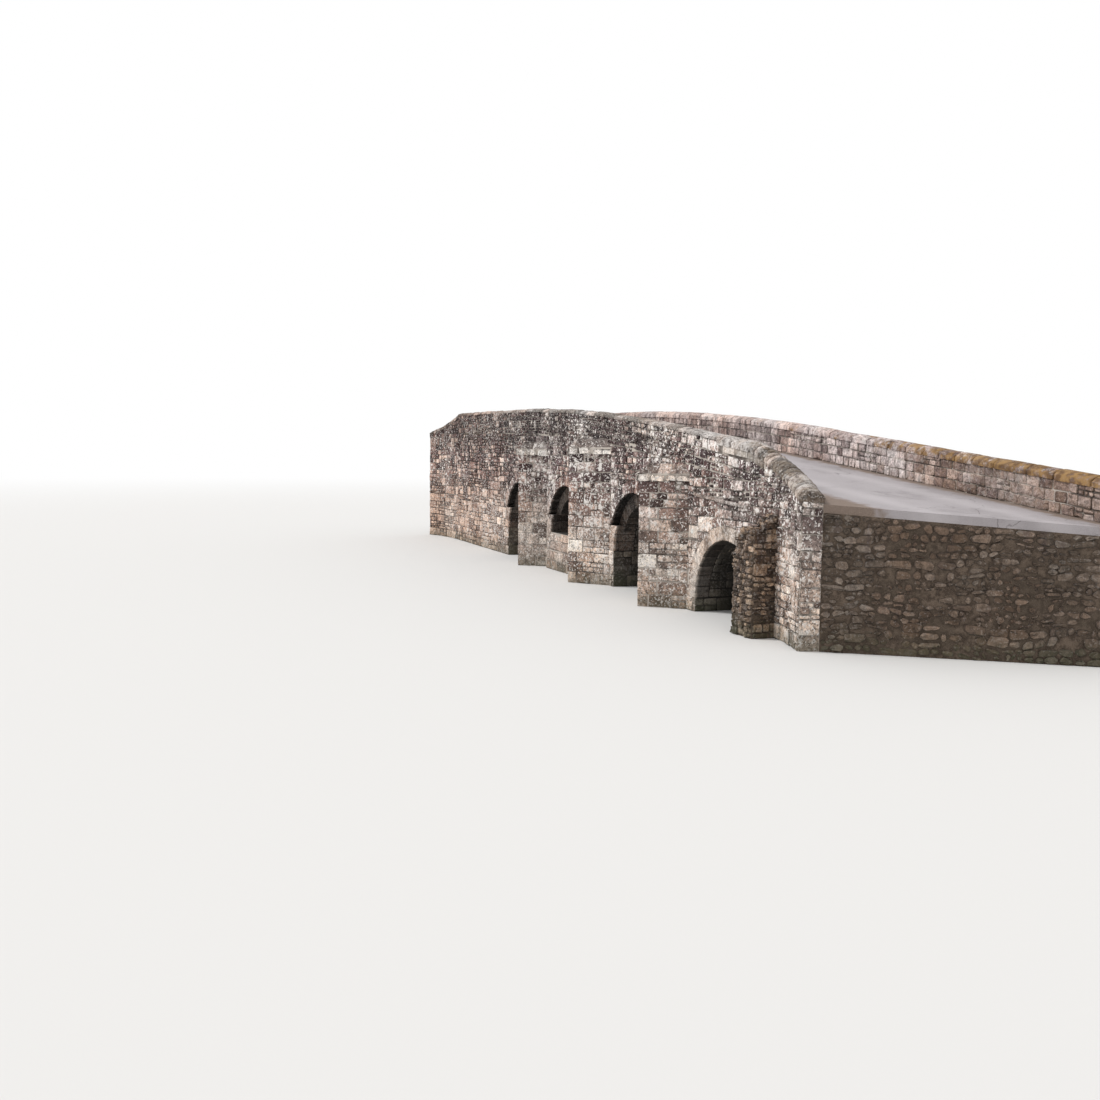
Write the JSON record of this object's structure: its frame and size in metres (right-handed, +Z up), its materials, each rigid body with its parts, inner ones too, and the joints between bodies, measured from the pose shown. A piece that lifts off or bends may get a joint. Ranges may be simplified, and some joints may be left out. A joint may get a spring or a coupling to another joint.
{
  "type": "stone arch road bridge",
  "caption": "Hump-backed rubble-stone road bridge with pointed cutwaters, two-order stream arches and a lower flood arch.",
  "frame": {"origin": "middle of the bridge's width under pier 2, the middle pier of the three, at stream bed level", "axes": "+X along the bridge towards the flood arch and the lower end of the road, -Y out of the face that the picture shows, +Z up"},
  "size_m": [31.3807, 6.27, 4.9247],
  "materials": {
    "pier_stone": "matte",
    "wall_stone": "matte",
    "ring_stone": "matte",
    "dressed_stone": "matte",
    "coping_stone": "matte",
    "rough_stone": "matte",
    "rubble_fill": "matte",
    "road_surface": "matte",
    "marker_enamel": "satin"
  },
  "bodies": {
    "root": {"abutment_left": "pier_stone", "abutment_right": "pier_stone", "pier_1": "pier_stone", "pier_2": "pier_stone", "pier_3": "pier_stone", "cutwater_near_1": "pier_stone", "cutwater_near_2": "pier_stone", "cutwater_near_3": "pier_stone", "cutwater_far_1": "pier_stone", "cutwater_far_2": "pier_stone", "cutwater_far_3": "pier_stone", "cap_near_1": "dressed_stone", "cap_near_2": "dressed_stone", "cap_near_3": "dressed_stone", "cap_far_1": "dressed_stone", "cap_far_2": "dressed_stone", "cap_far_3": "dressed_stone", "inner_arch_1": "dressed_stone", "inner_arch_2": "dressed_stone", "inner_arch_3": "dressed_stone", "outer_arch_near_1": "ring_stone", "outer_arch_near_2": "ring_stone", "outer_arch_near_3": "ring_stone", "outer_arch_far_1": "ring_stone", "outer_arch_far_2": "ring_stone", "outer_arch_far_3": "ring_stone", "flood_arch": "dressed_stone", "spandrel_near": "wall_stone", "spandrel_far": "wall_stone", "fill": "rubble_fill", "carriageway": "road_surface", "parapet_near": "wall_stone", "parapet_far": "wall_stone", "coping_near": "coping_stone", "coping_far": "coping_stone", "wing_near_right": "wall_stone", "wing_near_left": "wall_stone", "wing_far_left": "wall_stone", "wing_far_right": "wall_stone", "sill_arch_2": "pier_stone", "buttress_right": "rough_stone", "ledge_course": "dressed_stone", "marker_disc": "marker_enamel"}
  },
  "joints": []
}
